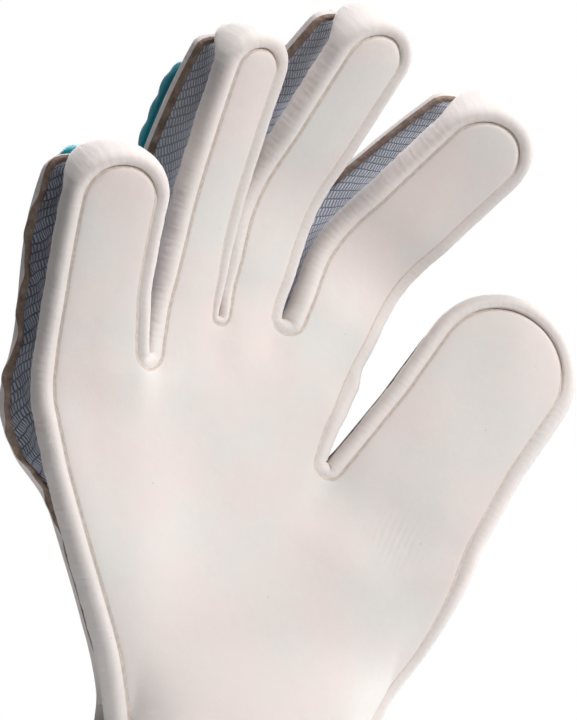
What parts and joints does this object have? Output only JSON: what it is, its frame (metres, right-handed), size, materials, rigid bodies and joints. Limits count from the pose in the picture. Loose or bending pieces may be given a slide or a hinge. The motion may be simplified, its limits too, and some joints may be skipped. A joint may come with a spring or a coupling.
{
  "type": "goalkeeper glove",
  "caption": "Right-hand goalkeeper glove: latex palm with rolled fingers, knit gussets, padded backhand and an elastic wrist cuff closed by a hook-and-loop strap.",
  "frame": {"origin": "middle of the wrist opening, in the plane of the hem", "axes": "+Z along the hand from the wrist to the fingertips, the palm faces -Y, the thumb is towards +X"},
  "size_m": [0.1617, 0.0802, 0.2567],
  "materials": {
    "latex": "matte latex foam",
    "foam": "open foam edge",
    "knit": "ribbed knit mesh",
    "lining": "brushed tricot",
    "pad": "moulded satin rubber",
    "cuff_knit": "elastic rib knit",
    "binding": "woven tape",
    "hook_loop": "hook-and-loop pile",
    "strap_face": "matte latex over elastic"
  },
  "bodies": {
    "hand": {"palm_latex": "latex", "palm_backing": "foam", "backhand_panel": "latex", "backhand_lining": "lining", "knuckle_pad": "pad", "little_side_gusset": "knit", "thumb_side_gusset": "knit", "finger_webs": "knit", "thumb_web": "knit", "cuff_band": "cuff_knit", "cuff_binding": "binding", "cuff_loop_patch": "hook_loop"},
    "little_base": {"little_base_front": "latex", "little_base_back": "latex", "little_base_gusset": "knit"},
    "little_mid": {"little_mid_front": "latex", "little_mid_back": "latex", "little_mid_gusset": "knit", "little_spine": "pad"},
    "little_tip": {"little_tip_front": "latex", "little_tip_back": "latex", "little_tip_gusset": "knit"},
    "ring_base": {"ring_base_front": "latex", "ring_base_back": "latex", "ring_base_gusset": "knit"},
    "ring_mid": {"ring_mid_front": "latex", "ring_mid_back": "latex", "ring_mid_gusset": "knit", "ring_spine": "pad"},
    "ring_tip": {"ring_tip_front": "latex", "ring_tip_back": "latex", "ring_tip_gusset": "knit"},
    "middle_base": {"middle_base_front": "latex", "middle_base_back": "latex", "middle_base_gusset": "knit"},
    "middle_mid": {"middle_mid_front": "latex", "middle_mid_back": "latex", "middle_mid_gusset": "knit", "middle_spine": "pad"},
    "middle_tip": {"middle_tip_front": "latex", "middle_tip_back": "latex", "middle_tip_gusset": "knit"},
    "index_base": {"index_base_front": "latex", "index_base_back": "latex", "index_base_gusset": "knit"},
    "index_mid": {"index_mid_front": "latex", "index_mid_back": "latex", "index_mid_gusset": "knit", "index_spine": "pad"},
    "index_tip": {"index_tip_front": "latex", "index_tip_back": "latex", "index_tip_gusset": "knit"},
    "thumb_base": {"thumb_base_front": "latex", "thumb_base_back": "latex", "thumb_base_gusset": "knit"},
    "thumb_tip": {"thumb_tip_front": "latex", "thumb_tip_back": "latex", "thumb_tip_gusset": "knit"},
    "strap": {"wrist_strap": "strap_face", "strap_hook_patch": "hook_loop"}
  },
  "joints": [
    {"name": "little_root_bend", "type": "hinge", "parent": "hand", "child": "little_base", "pos_m": [-0.04833, -0.00948, 0.16564], "axis": [0.9879, -0.1388, -0.0698], "range_deg": [-20, 26], "stiffness_Nm_per_rad": 0.12},
    {"name": "little_mid_bend", "type": "hinge", "parent": "little_base", "child": "little_mid", "pos_m": [-0.04761, -0.01412, 0.18508], "axis": [0.9879, -0.1388, -0.0698], "range_deg": [-15, 32], "stiffness_Nm_per_rad": 0.08},
    {"name": "little_tip_bend", "type": "hinge", "parent": "little_mid", "child": "little_tip", "pos_m": [-0.04723, -0.01948, 0.20121], "axis": [0.9879, -0.1388, -0.0698], "range_deg": [-9, 19.2], "stiffness_Nm_per_rad": 0.05},
    {"name": "ring_root_bend", "type": "hinge", "parent": "hand", "child": "ring_base", "pos_m": [-0.01889, -0.00696, 0.17527], "axis": [0.9957, 0.0696, -0.061], "range_deg": [-20, 26], "stiffness_Nm_per_rad": 0.12},
    {"name": "ring_mid_bend", "type": "hinge", "parent": "ring_base", "child": "ring_mid", "pos_m": [-0.01689, -0.01357, 0.20034], "axis": [0.9957, 0.0696, -0.061], "range_deg": [-15, 32], "stiffness_Nm_per_rad": 0.08},
    {"name": "ring_tip_bend", "type": "hinge", "parent": "ring_mid", "child": "ring_tip", "pos_m": [-0.01481, -0.02321, 0.22331], "axis": [0.9957, 0.0696, -0.061], "range_deg": [-9, 19.2], "stiffness_Nm_per_rad": 0.05},
    {"name": "middle_root_bend", "type": "hinge", "parent": "hand", "child": "middle_base", "pos_m": [0.00149, -0.00565, 0.17805], "axis": [0.9709, 0.1021, -0.2164], "range_deg": [-20, 26], "stiffness_Nm_per_rad": 0.12},
    {"name": "middle_mid_bend", "type": "hinge", "parent": "middle_base", "child": "middle_mid", "pos_m": [0.00802, -0.0113, 0.20469], "axis": [0.9709, 0.1021, -0.2164], "range_deg": [-15, 32], "stiffness_Nm_per_rad": 0.08},
    {"name": "middle_tip_bend", "type": "hinge", "parent": "middle_mid", "child": "middle_tip", "pos_m": [0.0144, -0.0262, 0.22628], "axis": [0.9709, 0.1021, -0.2164], "range_deg": [-9, 19.2], "stiffness_Nm_per_rad": 0.05},
    {"name": "index_root_bend", "type": "hinge", "parent": "hand", "child": "index_base", "pos_m": [0.02649, -0.00626, 0.16655], "axis": [0.8525, 0.0149, -0.5225], "range_deg": [-20, 26], "stiffness_Nm_per_rad": 0.12},
    {"name": "index_mid_bend", "type": "hinge", "parent": "index_base", "child": "index_mid", "pos_m": [0.03955, -0.00734, 0.18784], "axis": [0.8525, 0.0149, -0.5225], "range_deg": [-15, 32], "stiffness_Nm_per_rad": 0.08},
    {"name": "index_tip_bend", "type": "hinge", "parent": "index_mid", "child": "index_tip", "pos_m": [0.04982, -0.02161, 0.20418], "axis": [0.8525, 0.0149, -0.5225], "range_deg": [-9, 19.2], "stiffness_Nm_per_rad": 0.05},
    {"name": "thumb_root_bend", "type": "hinge", "parent": "hand", "child": "thumb_base", "pos_m": [0.05012, -0.01945, 0.12443], "axis": [0.6962, -0.4019, -0.5948], "range_deg": [-12, 20], "stiffness_Nm_per_rad": 0.15},
    {"name": "thumb_tip_bend", "type": "hinge", "parent": "thumb_base", "child": "thumb_tip", "pos_m": [0.0648, -0.02479, 0.14522], "axis": [0.6962, -0.4019, -0.5948], "range_deg": [-12, 20], "stiffness_Nm_per_rad": 0.08},
    {"name": "strap_lift", "type": "hinge", "parent": "hand", "child": "strap", "pos_m": [0.033, 0.02537, 0.031], "axis": [0, 0, -1], "range_deg": [0, 110]}
  ],
  "couplings": [
    {"joint": "little_tip_bend", "follows": "little_mid_bend", "ratio": 0.6},
    {"joint": "ring_tip_bend", "follows": "ring_mid_bend", "ratio": 0.6},
    {"joint": "middle_tip_bend", "follows": "middle_mid_bend", "ratio": 0.6},
    {"joint": "index_tip_bend", "follows": "index_mid_bend", "ratio": 0.6}
  ]
}
